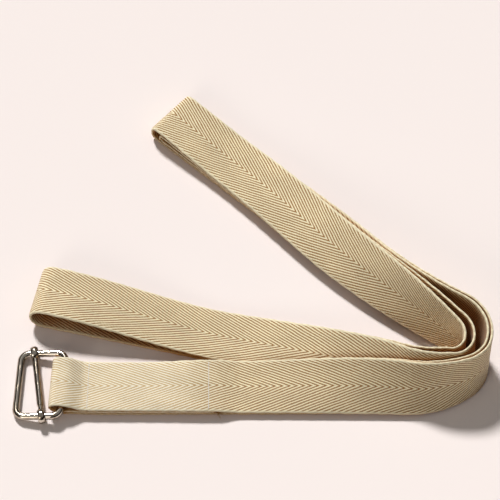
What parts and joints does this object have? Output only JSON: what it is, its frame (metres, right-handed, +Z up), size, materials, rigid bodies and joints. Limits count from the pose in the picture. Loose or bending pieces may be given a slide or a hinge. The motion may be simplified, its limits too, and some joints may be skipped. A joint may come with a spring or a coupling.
{
  "type": "gait belt",
  "caption": "Long cotton twill strap with a sewn-on metal ring buckle and slide bar, folded to four layers and laid in a V, for steadying a person who is being helped to walk.",
  "frame": {"origin": "bottom centre of the box round the folded belt, on the surface it lies on", "axes": "+X runs from the buckle to the upright bend, +Y towards the folded end of the upper arm, +Z up"},
  "size_m": [0.3243, 0.2635, 0.0407],
  "materials": {
    "webbing": "natural cotton herringbone twill with pale selvages",
    "plated_steel": "polished nickel plate on round steel wire",
    "thread": "white spun polyester sewing thread"
  },
  "bodies": {
    "strap": {"webbing": "webbing", "bar_seam_needle_thread": "thread", "bar_seam_bobbin_thread": "thread", "tail_seam_needle_thread": "thread", "tail_seam_bobbin_thread": "thread", "tip_hem_needle_thread": "thread", "tip_hem_bobbin_thread": "thread"},
    "buckle": {"buckle_frame": "plated_steel"},
    "bar": {"slide_bar": "plated_steel"}
  },
  "joints": [
    {"name": "buckle_swing", "type": "hinge", "parent": "strap", "child": "buckle", "pos_m": [-0.12836, -0.10469, 0.00735], "axis": [0.0593, 0.9982, 0], "range_deg": [0, 150]},
    {"name": "bar_slide", "type": "slide", "parent": "buckle", "child": "bar", "axis": [0.9888, -0.0587, 0.137], "range_m": [-0.0015, 0.0025]}
  ]
}
